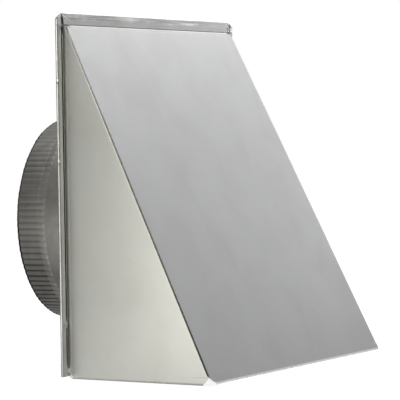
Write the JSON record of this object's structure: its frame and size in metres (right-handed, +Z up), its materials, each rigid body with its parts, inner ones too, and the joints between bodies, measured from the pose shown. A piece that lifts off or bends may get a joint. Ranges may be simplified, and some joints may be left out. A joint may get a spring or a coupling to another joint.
{
  "type": "wall vent cap",
  "caption": "Sheet-metal hooded wall vent cap with a slanted front, side gussets, an open screened underside, a gravity damper and a crimped round duct collar behind the wall plate.",
  "frame": {"origin": "where the duct's axis crosses the wall plane, which is the rear face of the wall plate", "axes": "+Y along the duct's axis into the wall, +Z up, the hood's front towards -Y"},
  "size_m": [0.3828, 0.2601, 0.346],
  "materials": {
    "hood_sheet": "mill",
    "plate_sheet": "mill",
    "collar_sheet": "mill",
    "flap_sheet": "mill",
    "rod_steel": "zinc plated",
    "bracket_sheet": "mill",
    "rivet_metal": "bright",
    "screen_wire": "galvanised",
    "seal_foam": "closed-cell foam"
  },
  "bodies": {
    "housing": {"wall_plate": "plate_sheet", "hood": "hood_sheet", "duct_collar": "collar_sheet", "flap_seal": "seal_foam", "hinge_rod": "rod_steel", "hinge_bracket_left": "bracket_sheet", "hinge_bracket_right": "bracket_sheet", "bracket_rivets": "rivet_metal", "bird_screen": "screen_wire"},
    "flap": {"damper_flap": "flap_sheet"}
  },
  "joints": [
    {"name": "flap_swing", "type": "hinge", "parent": "housing", "child": "flap", "pos_m": [0, -0.00404, 0.1166], "axis": [-1, 0, 0], "range_deg": [0, 30]}
  ]
}
